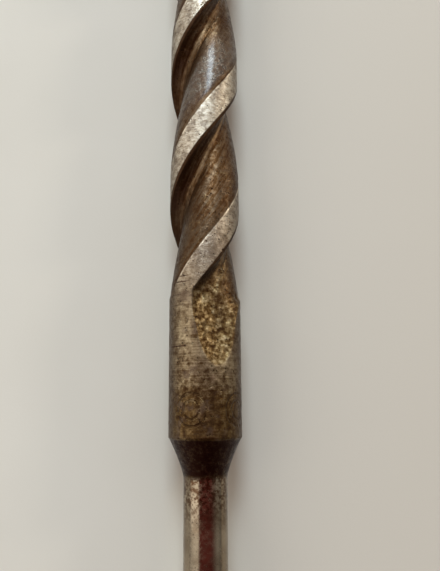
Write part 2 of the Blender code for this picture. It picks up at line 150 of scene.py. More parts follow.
def from_grid(name, rows, material, loop=False, angle=32):
    """Skin rings of equal length, an array (ring, point, xyz); loop closes the last ring to the first."""
    rows = np.asarray(rows, float)
    rings, sides = rows.shape[:2]
    index = np.arange(rings * sides).reshape(rings, sides)
    low = index if loop else index[:-1]
    high = np.roll(index, -1, 0) if loop else index[1:]
    quads = np.stack([low, np.roll(low, -1, 1), np.roll(high, -1, 1), high], -1).reshape(-1, 4)
    faces = quads.tolist()
    if not loop:
        faces += [index[0][::-1].tolist(), index[-1].tolist()]
    mesh = bpy.data.meshes.new(name)
    mesh.from_pydata(rows.reshape(-1, 3).tolist(), [], faces)
    form = bmesh.new()
    form.from_mesh(mesh)
    bmesh.ops.recalc_face_normals(form, faces=form.faces)
    form.to_mesh(mesh)
    form.free()
    item = new_object(name, mesh)
    if material:
        mesh.materials.append(material)
    smooth(item, angle)
    return item


def smooth(item, angle=32):
    """Smooth shading, with edges sharper than angle left hard."""
    item.data.shade_smooth()
    item.data.set_sharp_from_angle(angle=radians(angle))


def soften(outline, radius, steps=4):
    """Round the corners of an open outline of (height, radius) points."""
    points = [Vector(p) for p in outline]
    result = [tuple(points[0])]
    for before, corner, after in zip(points, points[1:], points[2:]):
        back = before - corner
        ahead = after - corner
        reach = min(radius, back.length * 0.45, ahead.length * 0.45)
        start = corner + back.normalized() * reach
        end = corner + ahead.normalized() * reach
        for i in range(steps + 1):
            t = i / steps
            spot = start * (1 - t) ** 2 + corner * (2 * t * (1 - t)) + end * t ** 2
            result.append(tuple(spot))
    result.append(tuple(points[-1]))
    return result


def about_axis(axis, centre, height, across, up):
    """World points for a height along the axis and two coordinates across it."""
    cx, cy, cz = centre
    if axis == "y":
        return np.stack([cx + across, height, cz + up], -1)
    if axis == "x":
        return np.stack([height, cy + across, cz + up], -1)
    return np.stack([cx + across, cy + up, height], -1)


def turned(name, axis, centre, outline, material, sides=96, bore=None, shape=None, angle=32):
    """A turned piece from (height, radius) points. shape(angle, height, radius) can change the radius."""
    if bore is not None:
        outline = list(outline) + [(outline[-1][0], bore), (outline[0][0], bore)]
    heights = np.array([p[0] for p in outline])[:, None]
    radii = np.array([p[1] for p in outline])[:, None]
    around = np.linspace(0, 2 * pi, sides, endpoint=False)[None, :]
    heights = heights + 0 * around
    radii = radii + 0 * around
    if shape is not None:
        radii = shape(around, heights, radii)
    rows = about_axis(axis, centre, heights, radii * np.cos(around), radii * np.sin(around))
    return from_grid(name, rows, material, loop=bore is not None, angle=angle)


def densify(outline, step):
    """Add points along an outline, so that a shape along it has something to move."""
    result = [outline[0]]
    for (h0, r0), (h1, r1) in zip(outline, outline[1:]):
        count = max(1, int(round(abs(h1 - h0) / step)))
        for i in range(1, count + 1):
            result.append((h0 + (h1 - h0) * i / count, r0 + (r1 - r0) * i / count))
    return result


def block(centre, low, high):
    """Rectangular cutter between two corners, given in millimetres from a centre."""
    form = bmesh.new()
    bmesh.ops.create_cube(form, size=1.0)
    for vert in form.verts:
        vert.co = [o + (a + (b - a) * (c + 0.5)) * MM for o, a, b, c in zip(centre, low, high, vert.co)]
    mesh = bpy.data.meshes.new("cutter")
    form.to_mesh(mesh)
    form.free()
    return new_object("cutter", mesh)


def cutter(axis, start, outline, sides=48, centre=TOOL_CENTRE, shape=None):
    """Turned cutter; its outline is in millimetres, with heights counted from start."""
    points = [(start + h * MM, r * MM) for h, r in outline]
    return turned("cutter", axis, centre, points, None, sides, shape=shape)


def drill(axis, start, depths, radius, sides=48, centre=TOOL_CENTRE):
    """Plain round cutter between two depths, counted from start in millimetres."""
    return cutter(axis, start, [(depth, radius) for depth in depths], sides, centre)


def hexagonal(angle, height, radius):
    """Shape that makes the outline's radius half the width across the flats of a six-sided piece."""
    return radius / cos(pi / 6)


def modify(piece, kind, **settings):
    """Give a piece a modifier and apply it."""
    modifier = piece.modifiers.new("change", kind)
    for name, value in settings.items():
        setattr(modifier, name, value)
    graph = bpy.context.evaluated_depsgraph_get()
    mesh = bpy.data.meshes.new_from_object(piece.evaluated_get(graph))
    piece.modifiers.clear()
    piece.data = mesh


def combine(piece, other, operation="DIFFERENCE"):
    """Cut piece with other, or join them, and drop other."""
    modify(piece, "BOOLEAN", operation=operation, solver="EXACT", object=other)
    bpy.data.objects.remove(other)


def bevel(piece, width, segments):
    """Round the sharp edges of a piece."""
    edges = {"limit_method": "ANGLE", "angle_limit": radians(35), "use_clamp_overlap": True}
    modify(piece, "BEVEL", width=width, segments=segments, **edges)


def remesh(piece, voxel, rounds):
    """Run the joined forms of a piece into one skin and relax it, as a forging or casting is."""
    modify(piece, "REMESH", mode="VOXEL", voxel_size=voxel)
    modify(piece, "SMOOTH", iterations=rounds)


def settle(piece, body, node, angle=None):
    """The piece rides on a body and stands in for a CAD node, which it hides; angle smooths it again."""
    if angle:
        smooth(piece, angle)
    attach(piece, body)
    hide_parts(node)


# ---- material tools


class Nodes:
    """Short names for the shader nodes that the materials and the world are built from."""

    def __init__(self, tree):
        self.tree = tree

    def put(self, socket, value):
        """Link a socket to a socket, or give it a value; a colour has three numbers."""
        if isinstance(value, bpy.types.NodeSocket):
            self.tree.links.new(value, socket)
        elif socket.type == "RGBA":
            socket.default_value = (*value, 1.0)
        else:
            socket.default_value = value

    def fill(self, node, **values):
        """Put values on a node's inputs; the names stand for them, with underscores for spaces."""
        for name, value in values.items():
            self.put(node.inputs[name.replace("_", " ").title()], value)

    def add(self, kind, **values):
        node = self.tree.nodes.new("ShaderNode" + kind)
        self.fill(node, **values)
        return node

    def attribute(self, name, output="Fac"):
        node = self.add("Attribute")
        node.attribute_name = name
        return node.outputs[output]

    def math(self, operation, a, b=0.0):
        node = self.add("Math")
        node.operation = operation
        self.put(node.inputs[0], a)
        self.put(node.inputs[1], b)
        return node.outputs[0]

    def times(self, a, b):
        return self.math("MULTIPLY", a, b)

    def plus(self, a, b):
        return self.math("ADD", a, b)

    def minus(self, a, b):
        return self.math("SUBTRACT", a, b)

    def far(self, value, centre):
        """Distance of a value from a centre."""
        return self.math("ABSOLUTE", self.minus(value, centre))

    def blend(self, *parts):
        """Sum of (value, share) pairs."""
        total = 0.0
        for value, share in parts:
            total = self.plus(total, self.times(value, share))
        return total

    def between(self, value, low, high, to_low=0.0, to_high=1.0):
        """Smooth step of value from low to high, mapped onto to_low .. to_high."""
        node = self.add("MapRange", value=value, from_min=low, from_max=high, to_min=to_low, to_max=to_high)
        node.interpolation_type = "SMOOTHSTEP"
        return node.outputs["Result"]

    def over(self, colour, *coats):
        """Colour under (share, colour) coats, laid on one after another."""
        for share, coat in coats:
            node = self.add("Mix")
            node.data_type = "RGBA"
            for index, value in ((0, share), (6, colour), (7, coat)):
                self.put(node.inputs[index], value)
            colour = node.outputs[2]
        return colour

    def ramp(self, value, *stops):
        node = self.add("ValToRGB")
        self.put(node.inputs[0], value)
        elements = node.color_ramp.elements
        while len(elements) < len(stops):
            elements.new(0.5)
        for element, (position, colour) in zip(elements, stops):
            element.position = position
            element.color = (*colour, 1.0)
        return node.outputs[0]

    def bump(self, height, depth_mm, below=None):
        node = self.add("Bump", strength=1.0, distance=depth_mm * MM, height=height)
        if below is not None:
            self.fill(node, normal=below)
        return node.outputs[0]

    def split(self, vector):
        return self.add("SeparateXYZ", vector=vector).outputs


class Graph(Nodes):
    """A Principled material whose textures work in millimetres of the piece's own space."""

    def __init__(self, name):
        self.material = bpy.data.materials.new(name)
        self.material.use_nodes = True
        super().__init__(self.material.node_tree)
        self.shader = self.tree.nodes["Principled BSDF"]
        self.place = self.add("TexCoord").outputs["Object"]

    def set(self, **values):
        self.fill(self.shader, **values)

    def scaled(self, per_mm, source=None):
        """Place in the piece, or another vector, times so many texture units per millimetre."""
        node = self.add("VectorMath")
        node.operation = "MULTIPLY"
        self.put(node.inputs[0], source or self.place)
        node.inputs[1].default_value = np.broadcast_to(per_mm, 3) / MM
        return node.outputs[0]

    def noise(self, per_mm, detail=4.0, rough=0.55, twist=0.0, source=None):
        vector = self.scaled(per_mm, source)
        values = {"detail": detail, "roughness": rough, "distortion": twist}
        node = self.add("TexNoise", vector=vector, scale=1.0, **values)
        return node.outputs["Fac"]

    def cells(self, per_mm):
        return self.add("TexVoronoi", vector=self.scaled(per_mm), scale=1.0).outputs["Distance"]

    def worn_edges(self):
        """1 along the outer edges of the mesh."""
        return self.between(self.add("NewGeometry").outputs["Pointiness"], 0.52, 0.6)


# ---- materials


def stamped_rings(g, s):
    """Two plain round stamps on the cylinder, each an outer and an inner ring."""
    place = g.split(g.scaled(1.0))
    up = g.minus(place["Z"], AXIS_Z / MM)
    arc = g.times(g.math("ARCTAN2", place["X"], up), BODY_R / MM)
    along = g.minus(s, STAMP_S)
    depth = 0.0
    for centre in STAMP_ARCS:
        away = g.minus(arc, centre)
        distance = g.math("SQRT", g.plus(g.times(away, away), g.times(along, along)))
        for radius in STAMP_RADII:
            depth = g.math("MAXIMUM", depth, g.between(g.far(distance, radius), 0.5, 0.15))
    return g.times(depth, g.between(g.noise(0.5, 3), 0.36, 0.52))


def flute_colour(g, mottle, flow):
    """Red-brown scale that runs along the flutes, golden in the pockets where they begin, with painted shade
    on the walls and a painted reflection along the roots.
    """
    brown = g.ramp(
        g.blend((flow, 0.6), (mottle, 0.4)),
        (0.36, (0.03, 0.008, 0.0015)), (0.46, (0.062, 0.027, 0.008)),
        (0.54, (0.098, 0.056, 0.028)), (0.66, (0.125, 0.085, 0.054)),
    )
    golden = g.ramp(
        mottle,
        (0.38, (0.034, 0.014, 0.0035)), (0.47, (0.092, 0.05, 0.016)),
        (0.56, (0.215, 0.145, 0.064)), (0.68, (0.45, 0.35, 0.205)),
    )
    flecks = g.between(g.noise(0.95, 5, 0.75), 0.52, 0.66, 0.0, 0.35)
    patches = g.between(g.noise(0.17, 3, 0.6), 0.5, 0.62)
    rubbed = g.times(g.attribute("polish"), g.between(mottle, 0.4, 0.6, 0.05, 0.6))
    shaded = g.times(g.attribute("wall"), g.between(flow, 0.4, 0.6, 0.65, 0.15))
    # painted reflection: a tan line along the root of each flute
    root_reflection = g.times(g.attribute("root"), g.between(flow, 0.4, 0.55, 0.2, 0.8))
    return g.over(
        brown,
        (g.times(g.attribute("pocket"), 0.8), golden),
        (g.times(flecks, patches), (0.34, 0.24, 0.12)),
        (rubbed, (0.14, 0.124, 0.103)),
        (shaded, (0.026, 0.008, 0.002)),
        (root_reflection, (0.2, 0.125, 0.065)),
    )


def ground_colour(g, s, across, mottle, broad, rings):
    """Ground lands, the browner cylinder behind them, the stains and turned lines on both, and painted shade
    on their sides.
    """
    scratch = g.noise((0.5, 4.5, 0.5), 3, 0.8, 0.6)
    land = g.ramp(
        g.blend((mottle, 0.5), (scratch, 0.5)),
        (0.37, (0.13, 0.085, 0.053)), (0.46, (0.36, 0.295, 0.22)),
        (0.56, (0.55, 0.485, 0.39)), (0.68, (0.74, 0.68, 0.58)),
    )
    barrel = g.ramp(
        g.blend((mottle, 0.45), (rings, 0.3), (broad, 0.25)),
        (0.41, (0.072, 0.038, 0.015)), (0.49, (0.17, 0.118, 0.066)),
        (0.6, (0.35, 0.275, 0.17)),
    )
    stained = g.ramp(
        mottle,
        (0.38, (0.03, 0.01, 0.0015)), (0.52, (0.072, 0.035, 0.007)),
        (0.66, (0.15, 0.092, 0.034)),
    )
    low_stain = g.between(g.plus(s, g.times(mottle, 26.0)), 35.0, 24.0)
    barrel = g.over(barrel, (g.times(low_stain, 0.85), stained))
    worn_land = g.between(s, 78.0, 60.0, 0.0, 0.45)
    bright = g.over(land, (worn_land, (0.15, 0.098, 0.056)), (g.between(s, 58.0, 34.0), barrel))
    left = g.between(across, -4.0, -6.0, 0.0, 0.9)
    for mark, half_width in SCRATCH_LINES:
        line = g.between(g.far(s, mark), half_width + 0.15, half_width)
        bright = g.over(bright, (g.times(line, left), (0.045, 0.016, 0.008)))
    smears = g.between(g.noise(0.2, 4, 0.6), 0.5, 0.62, 0.0, 0.6)
    # painted shade: the lands and the cylinder darken towards their left and right sides
    side = g.between(g.math("ABSOLUTE", across), 7.5, 10.5)
    side = g.times(side, g.between(s, 52.0, 38.0, 0.45, 0.75))
    return g.over(bright, (smears, (0.125, 0.085, 0.057)), (side, (0.07, 0.04, 0.02)))


def shank_colour(g, s, broad):
    """Rubbed steel that rusts towards the cone."""
    rust = g.between(g.noise(0.75, 6, 0.72, 0.3), 0.45, 0.55)
    rust = g.times(rust, g.between(s, -28.0, -15.0, 0.06, 0.9))
    rubbed = g.ramp(broad, (0.4, (0.225, 0.172, 0.116)), (0.6, (0.33, 0.268, 0.19)))
    return g.over(rubbed, (rust, (0.075, 0.034, 0.014)))


def pits(g, on_shank):
    """Corrosion pits in patches, shallower on the shank."""
    holes = g.times(g.between(g.cells(0.95), 0.3, 0.14), g.between(g.noise(0.42, 3), 0.48, 0.58))
    specks = g.times(g.between(g.cells(2.3), 0.26, 0.12), g.between(g.noise(0.8, 3), 0.44, 0.56))
    return g.times(g.math("MAXIMUM", holes, specks), g.minus(1.0, g.times(on_shank, 0.5)))


def aged_head_steel():
    """Brown pitted flutes, stained and scratched lands and cylinder, a cone coloured near-black as painted
    shade, a rubbed shank.
    """
    g = Graph("aged_head_steel")
    place = g.split(g.scaled(1.0))
    s = g.minus(place["Y"], SHOULDER_Y / MM)
    ground = g.attribute("ground")
    polish = g.attribute("polish")
    broad = g.noise(0.13, 3, 0.5)
    mottle = g.noise(0.62, 6, 0.68)
    flow = g.noise((0.85, 0.1, 0.85), 6, 0.65, source=g.attribute("unwound", "Vector"))
    rings = g.noise((0.06, 2.2, 0.06), 4, 0.7)
    on_shank = g.between(s, -9.8, -11.2)
    on_cone = g.times(g.between(s, 0.3, -0.2), g.between(s, -11.6, -9.4))
    stamps = stamped_rings(g, s)
    spots = pits(g, on_shank)

    # painted highlight: a bright cream line, in patches, along the rounded back edge of each land
    painted_glint = g.times(g.attribute("rim_highlight"), g.between(broad, 0.48, 0.6))
    # painted shade: the cone, which faces away from the light, is coloured near-black
    cone = g.over((0.02, 0.005, 0.002), (g.between(mottle, 0.46, 0.66), (0.06, 0.034, 0.018)))
    fluted = g.minus(1.0, g.math("MAXIMUM", ground, g.between(s, 50.0, 44.0)))
    dull = g.times(g.times(g.between(s, 84.0, 60.0), fluted), g.between(flow, 0.46, 0.6, 0.15, 0.55))
    colour = g.over(
        flute_colour(g, mottle, flow),
        (ground, ground_colour(g, s, place["X"], mottle, broad, rings)),
        (g.times(painted_glint, 0.8), (0.85, 0.72, 0.55)),
        (g.times(g.attribute("edge"), 0.85), (0.05, 0.024, 0.011)),
        (on_shank, shank_colour(g, s, broad)),
        (on_cone, cone),
        (g.times(stamps, 0.5), (0.04, 0.018, 0.005)),
        (g.times(spots, 0.85), (0.024, 0.01, 0.004)),
        (dull, (0.052, 0.034, 0.02)),
    )
    changes = g.blend((spots, 0.25), (g.attribute("wall"), 0.1), (on_shank, -0.2), (polish, -0.08))
    rough = g.plus(g.between(mottle, 0.36, 0.64, 0.48, 0.3), changes)
    g.set(base_color=colour, roughness=rough, metallic=g.minus(0.95, g.times(polish, 0.25)))
    g.set(coat_weight=g.times(polish, 0.45))
    g.shader.inputs["Coat Roughness"].default_value = 0.22

    hair = g.noise((0.3, 6.0, 0.3), 3, 0.75)
    fine = g.noise(3.4, 4, 0.65)
    uneven_part = g.minus(1.0, g.times(on_shank, 0.95))
    grit = g.plus(uneven_part, g.times(polish, 1.2))
    normal = None
    for height, depth in (
        (g.times(g.plus(hair, rings), ground), 0.03),
        (g.times(mottle, uneven_part), 0.16),
        (g.times(fine, grit), 0.065),
        (g.times(g.noise(1.25, 3, 0.6), polish), 0.2),
        (g.times(g.times(spots, uneven_part), -1.0), 0.12),
        (g.times(stamps, -1.0), 0.16),
    ):
        normal = g.bump(height, depth, normal)
    g.set(normal=normal)
    return g.material


def turned_steel(name, colours, axis, metallic=0.95, rough=(0.42, 0.26)):
    """Turned or ground steel with tool lines around its axis, smears and small rust spots."""
    g = Graph(name)
    dark, mid, light = colours
    stretch = {"x": (6.0, 0.15, 0.15), "y": (0.15, 6.0, 0.15), "z": (0.15, 0.15, 6.0)}[axis]
    lines = g.noise(stretch, 3, 0.7)
    smear = g.noise(0.22, 5, 0.6, 0.6)
    speck = g.noise(1.6, 5, 0.7)
    tone = g.blend((smear, 0.6), (speck, 0.4))
    colour = g.ramp(tone, (0.36, dark), (0.5, mid), (0.64, light))
    spots = g.between(g.noise(0.9, 6, 0.75, 0.5), 0.6, 0.7)
    colour = g.over(colour, (g.times(spots, 0.8), tuple(0.35 * c for c in dark)))
    wear = g.times(g.worn_edges(), g.between(speck, 0.35, 0.6))
    colour = g.over(colour, (wear, tuple(min(1.0, 1.5 * c + 0.05) for c in light)))
    value = g.between(tone, 0.35, 0.65, *rough)
    g.set(base_color=colour, roughness=g.plus(value, g.times(spots, 0.25)), metallic=metallic)
    normal = g.bump(lines, 0.018)
    normal = g.bump(speck, 0.03, normal)
    g.set(normal=g.bump(g.times(spots, -1.0), 0.04, normal))
    return g.material


def tarnished_brass():
    """Brass with brown smears, turned lines and bright edges."""
    g = Graph("tarnished_brass")
    smear = g.noise(0.3, 5, 0.65, 0.8)
    speck = g.noise(2.2, 5, 0.7)
    lines = g.noise((7.0, 0.2, 0.2), 3, 0.7)
    tone = g.blend((smear, 0.7), (speck, 0.3))
    colour = g.ramp(
        tone,
        (0.34, (0.16, 0.085, 0.03)), (0.5, (0.46, 0.29, 0.095)),
        (0.66, (0.72, 0.52, 0.22)),
    )
    colour = g.over(colour, (g.worn_edges(), (0.86, 0.66, 0.32)))
    g.set(base_color=colour, roughness=g.between(tone, 0.35, 0.65, 0.44, 0.22), metallic=1.0)
    g.set(normal=g.bump(speck, 0.02, g.bump(lines, 0.014)))
    return g.material


def oiled_wood():
    """Ash or beech with its grain along the handle, darkened by hands and finished with oil."""
    g = Graph("oiled_wood")
    grain = g.noise((0.035, 0.55, 0.55), 5, 0.6, 1.2)
    fibre = g.noise((0.1, 4.0, 4.0), 4, 0.7)
    pores = g.cells((0.16, 3.0, 3.0))
    wave = g.add("TexWave", vector=g.scaled((0.012, 0.22, 0.22)), scale=1.1, distortion=5.0, detail=3.0)
    wave.wave_type = "RINGS"
    wave.rings_direction = "X"
    tone = g.blend((grain, 0.62), (wave.outputs["Fac"], 0.16), (fibre, 0.22))
    colour = g.ramp(
        tone,
        (0.28, (0.085, 0.032, 0.012)), (0.46, (0.235, 0.105, 0.04)),
        (0.62, (0.42, 0.225, 0.095)), (0.78, (0.52, 0.31, 0.15)),
    )
    dirt = g.between(g.noise(0.12, 5, 0.65), 0.48, 0.68)
    dark_pore = g.between(pores, 0.22, 0.05)
    colour = g.over(
        colour, (g.times(dirt, 0.55), (0.06, 0.028, 0.014)), (g.times(dark_pore, 0.6), (0.035, 0.014, 0.007))
    )
    g.set(base_color=colour, roughness=g.between(tone, 0.3, 0.7, 0.48, 0.34))
    g.shader.inputs["Coat Weight"].default_value = 0.22
    g.shader.inputs["Coat Roughness"].default_value = 0.28
    normal = g.bump(fibre, 0.06)
    g.set(normal=g.bump(g.times(dark_pore, -1.0), 0.06, normal))
    return g.material


def pale_floor():
    """Matt pale floor, with painted shade making it a little darker to the right."""
    g = Graph("pale_floor")
    soft = g.noise(0.01, 4, 0.5)
    fine = g.noise(1.2, 3, 0.5)
    colour = g.ramp(soft, (0.3, (0.622, 0.59, 0.512)), (0.7, (0.672, 0.641, 0.563)))
    # painted shade: the floor darkens towards the right, away from the light
    right = g.between(g.split(g.scaled(1.0))["X"], -70.0, 110.0)
    colour = g.over(colour, (right, (0.555, 0.51, 0.433)))
    g.set(base_color=colour, roughness=0.85)
    g.set(normal=g.bump(fine, 0.02))
    return g.material


# ---- fluted head


def edge_angle(s):
    """Angle of a cutting edge, from +X towards up."""
    return radians(90) - 2 * pi * (np.maximum(s, RUNOUT_START) - EDGE_AT_TOP) / LEAD


def smooth_step(t):
    t = np.clip(t, 0.0, 1.0)
    return t * t * (3 - 2 * t)


def flute_depth(u, s):
    """Depth below the body radius, as a share of it, at u degrees from the back of a land."""
    past = u - LAND_DEG
    grown = smooth_step((s - WORN_FROM) / (8 * MM))
    drop = WORN_EDGE_DROP * np.clip(past / WORN_EDGE_DEG, 0, 1) ** 2 * grown
    steep = np.clip((past - WORN_EDGE_DEG * grown) / 18, 0, 1)
    wall = drop + (FLUTE_DEPTH - drop) * np.sin(pi / 2 * steep ** 0.6)
    flank = 0.067 * (np.clip(180 - u, 0, 180) / 31.5) ** 1.5
    depth = np.minimum(wall, flank)
    back = np.clip(RUNOUT_START - s, 0, CUTTER_R)
    lift = (CUTTER_R - np.sqrt(CUTTER_R ** 2 - back ** 2)) / BODY_R
    bowl = FLUTE_DEPTH - 0.00025 * (u - 82) ** 2
    blend = smooth_step(back / (11 * MM))
    risen = (1 - blend) * depth + blend * bowl - lift
    depth = np.where(back > 0, np.maximum(risen, 0), depth)
    return np.where(u <= LAND_DEG, 0.0, depth)


def head_envelope(s):
    """Radius of the cone, its rounded shoulder, the cylinder and the nose."""
    shoulder = BODY_R - SHOULDER_EDGE
    cone = SHANK_R + (shoulder - SHANK_R) * np.clip(1 + s / CONE_LENGTH, 0, 1) ** 1.25
    nose = BODY_R + (NOSE_R - BODY_R) * (s - NOSE_START) / (NOSE_END - NOSE_START)
    radius = np.where(s < 0, cone, np.minimum(BODY_R, nose))
    return np.where((s >= 0) & (s < 0.5 * MM), shoulder + 0.8 * s, radius)


def spaced(stops):
    """Values from (start, step) pairs; each runs to the next start, and the last start is the end."""
    values = []
    for (start, step), (end, _) in zip(stops, stops[1:]):
        count = max(1, int(round((end - start) / step)))
        values += [start + (end - start) * i / count for i in range(count)]
    return np.array(values + [stops[-1][0]])


def helix_place(points):
    """Distance s, radius, angle, and u (degrees from the back of a land) of world points."""
    s = points[:, 1] - SHOULDER_Y
    across = points[:, 0]
    up = points[:, 2] - AXIS_Z
    angle = np.arctan2(up, across)
    u = (LAND_DEG + np.degrees(edge_angle(s) - angle)) % 180
    return s, np.hypot(across, up), angle, u


def uneven(points, per_mm, seed):
    """Smooth noise from -1 to 1 at each point."""
    shift = Vector((seed * 7.3, seed * 3.1, seed * 5.7))
    return np.array([noise.noise(Vector(p) * (per_mm / MM) + shift) for p in points])


def roughen_head(points):
    """Wear of the forged flutes, pits of the runout and nicks of the lands, as moves along the radius."""
    s, radius, _, u = helix_place(points)
    cut = np.clip(flute_depth(u, s) / 0.03, 0, 1)
    wave = 0.1 * uneven(points, 0.13, 1) + 0.035 * uneven(points, 0.42, 2)
    pit = np.clip(uneven(points, 0.5, 4) - 0.12, 0, 1) * np.clip(uneven(points, 0.2, 5) + 0.6, 0, 1)
    pocket = smooth_step((52 * MM - s) / (14 * MM)) * cut
    move = cut * wave - cut * (0.16 + 0.65 * pocket) * pit
    nick = np.clip(uneven(points, 0.33, 6) - 0.36, 0, 1)
    move -= 0.3 * nick * (s > -1 * MM)
    keep = smooth_step((s - TAIL_START) / (4 * MM)) * smooth_step((NOSE_END - s) / (6 * MM))
    move = move * MM * keep
    limit = np.minimum(radius + move, BODY_R) / np.maximum(radius, 1e-6)
    moved = points.copy()
    moved[:, 0] = points[:, 0] * limit
    moved[:, 2] = (points[:, 2] - AXIS_Z) * limit + AXIS_Z
    return moved


def store(mesh, name, values, kind="FLOAT"):
    """Save one value or vector per vertex for the materials."""
    attribute = mesh.attributes.get(name) or mesh.attributes.new(name, kind, "POINT")
    field = "value" if kind == "FLOAT" else "vector"
    attribute.data.foreach_set(field, np.ascontiguousarray(values, np.float32).ravel())


def mark_head(mesh):
    """Write the masks that the head's material reads."""
    points = np.array([v.co for v in mesh.vertices])
    s, radius, angle, u = helix_place(points)
    past = u - LAND_DEG
    behind = np.minimum(np.abs(u), np.abs(u - 180))
    fluted = smooth_step((s - 44 * MM) / (4 * MM))
    land = np.where(u <= LAND_DEG + 0.5, 1.0, np.clip(1 - (180 - u) / 1.5, 0, 1))
    cylinder = np.clip(1 - flute_depth(u, s) / 0.01, 0, 1) * (s < 40 * MM)
    worn = smooth_step((past + 1.5) / 2.5) * (1 - smooth_step((past - 6) / 3))
    wall = smooth_step((past + 0.5) / 1.5) * (1 - smooth_step((past - 17) / 8))
    # painted shade: the golden pocket tone fades on the flank side of each flute
    shaded_pocket_side = smooth_step((u - 84) / 24) * smooth_step((s - 36 * MM) / (9 * MM))
    flank = smooth_step((u - 92) / 25) * smooth_step((176 - u) / 12)
    upper_bend = np.exp(-((s - 113 * MM) / (13 * MM)) ** 2) * (np.cos(angle - pi / 2) > 0)
    masks = {
        "ground": np.maximum(land, cylinder) * (s > -0.5 * MM),
        "edge": worn * fluted,
        # painted highlight along the back edge of each land
        "rim_highlight": np.exp(-(behind / 1.1) ** 2) * fluted,
        "wall": wall * fluted,
        # where the painted reflection along the root of each flute lies
        "root": np.exp(-((past - 27) / 4.0) ** 2) * fluted,
        "pocket": smooth_step((62 * MM - s) / (20 * MM)) * (1 - 0.9 * shaded_pocket_side),
        "polish": flank * upper_bend,
    }
    for name, values in masks.items():
        store(mesh, name, values)
    turn = angle - edge_angle(s)
    unwound = np.stack([radius * np.cos(turn), s, radius * np.sin(turn)], -1)
    store(mesh, "unwound", unwound, "FLOAT_VECTOR")


def build_head(steel):
    """The fluted head with its hexagonal tail, the seats and screw holes of its lips, and its bores."""
    stations = spaced([
        (TAIL_START, 1.5 * MM), (-CONE_LENGTH, 0.8 * MM), (-0.02 * MM, 0.12 * MM), (0.5 * MM, 0.6 * MM),
        (18 * MM, 0.5 * MM), (150 * MM, 0.8 * MM), (NOSE_END, 1.0),
    ])
    half = spaced([(0, 1.9), (38, 0.8), (52, 1.2), (68, 1.8), (86, 2.1), (180, 1.0)])[:-1]
    s, u = np.meshgrid(stations, np.concatenate([half, half + 180]), indexing="ij")
    radius = np.minimum(BODY_R * (1 - flute_depth(u % 180, s)), head_envelope(s))
    angle = edge_angle(s) + np.radians(LAND_DEG - u)
    rows = about_axis("y", TOOL_CENTRE, s + SHOULDER_Y, radius * np.cos(angle), radius * np.sin(angle))
    rows = roughen_head(rows.reshape(-1, 3)).reshape(rows.shape)
    head = from_grid("fluted_head", rows, steel, angle=40)

    low = HEAD_LOW[1]
    flats = TAIL_FLATS / 2
    tail = [(low, flats - 0.6 * MM), (low + 1 * MM, flats), (SHOULDER_Y + TAIL_START + 2 * MM, flats)]
    combine(head, turned("tail", "y", TOOL_CENTRE, tail, steel, 6, shape=hexagonal), "UNION")

    seats = []
    bores = [
        drill("y", span("pilot_screw", "y")[0], (-1, 30), 3.2),
        drill("z", AXIS_Z, (-3.5, 9), 2.8, centre=node_centre("release_button")),
    ]
    for side, place, reach in ((-1, "lower", (-1, 6.8)), (1, "upper", (-6.8, 1))):
        x = sorted((-2.9 * side, 4.6 * side))
        z = sorted((3.5 * side, 15 * side))
        seats.append(block((0, HEAD_HIGH[1], AXIS_Z), (x[0], -15.3, z[0]), (x[1], 5, z[1])))
        bores.append(drill("x", 0, reach, 1.15, 32, node_centre("lip_screw_" + place)))
    combine(head, join(*seats))
    combine(head, join(*bores))
    mark_head(head.data)
    settle(head, "tool", "auger_head", 40)


# ---- shapes of turned pieces


def spun(name, node, axis, outline, material, flip=False, **options):
    """A turned piece on its CAD node's axis.

    The outline is in millimetres; heights run from the node's lower end, or from its upper end if flipped.
    """
    start, end = span(node, axis)
    points = [(end - h * MM if flip else start + h * MM, r * MM) for h, r in outline]
    return turned(name, axis, node_centre(node), points, material, **options)


def faded(height, start, end, reach):
    """1 between two coordinates, falling to 0 at them over reach."""
    return smooth_step((height - start) / reach) * smooth_step((end - height) / reach)


def thread(axis, start, end, pitch, depth):
    """Shape that cuts a right-handed V thread between two coordinates; its pitch and depth are in mm."""
    turn = 1 if axis == "y" else -1

    def shape(angle, height, radius):
        phase = (height / (pitch * MM) + turn * angle / (2 * pi)) % 1.0
        return radius - depth * MM * np.abs(2 * phase - 1) * faded(height, start, end, pitch * MM)

    return shape


def knurl(start, end, count, depth, slant):
    """Shape that rolls a diamond knurl, its depth in mm, between two coordinates."""

    def shape(angle, height, radius):
        pitch = 2 * pi * np.max(radius) / count
        right = (count * angle / (2 * pi) + slant * height / pitch) % 1.0
        left = (count * angle / (2 * pi) - slant * height / pitch) % 1.0
        valley = np.maximum(np.abs(2 * right - 1), np.abs(2 * left - 1))
        return radius - depth * MM * valley * faded(height, start, end, 0.5 * MM)

    return shape


def join(*pieces):
    """Merge separate meshes into the first one."""
    form = bmesh.new()
    for piece in pieces:
        form.from_mesh(piece.data)
    form.to_mesh(pieces[0].data)
    form.free()
    for piece in pieces[1:]:
        bpy.data.objects.remove(piece)
    return pieces[0]


def through_hole(axis, centre, half, radius, mouth=0.15):
    """Cutter for a cross hole, in mm, with a small countersink where it comes out at half from the centre."""
    wide = radius + mouth
    ends = [(half + 3, wide), (half, wide), (half - mouth, radius)]
    outline = [(-h, r) for h, r in ends] + ends[::-1]
    return cutter(axis, centre["xyz".index(axis)], outline, 40, centre)


def domed(length, radius):
    """Outline of a pin with rounded, slightly domed ends."""
    side = [(0.0, radius * 0.15), (0.1225, radius * 0.55), (0.35, radius - 0.5), (0.85, radius)]
    return soften(side + [(length - h, r) for h, r in side[::-1]], 0.4)


# ---- point of the auger


